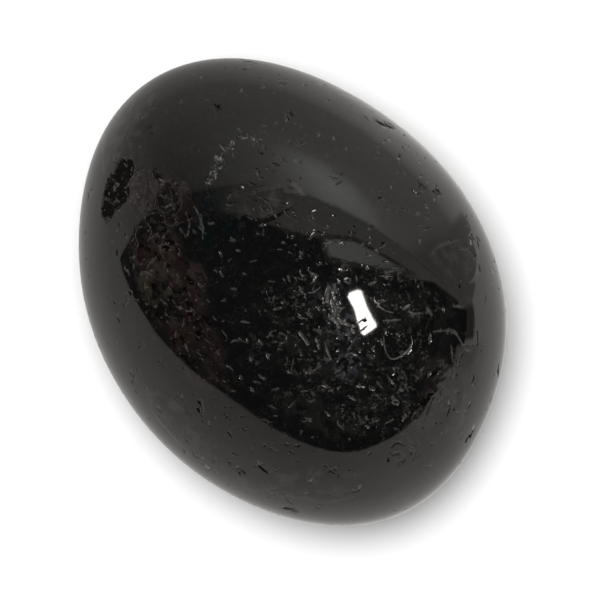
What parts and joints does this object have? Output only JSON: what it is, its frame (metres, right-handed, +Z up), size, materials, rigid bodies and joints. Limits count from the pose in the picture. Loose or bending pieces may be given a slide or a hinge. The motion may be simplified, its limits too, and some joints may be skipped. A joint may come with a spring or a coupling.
{
  "type": "tumbled stone",
  "caption": "Rounded tumbled stone, longer than wide, with softly worn sides, small pits, a glossy dark surface and a small flat to rest on.",
  "frame": {"origin": "on the flat that the stone rests on, straight below the middle of the stone", "axes": "+X along the length, +Y across the width, +Z up from the surface that it rests on"},
  "size_m": [0.0299, 0.0235, 0.0176],
  "materials": {
    "stone": "polished black tourmaline with fine pits"
  },
  "bodies": {
    "root": {"stone": "stone"}
  },
  "joints": []
}
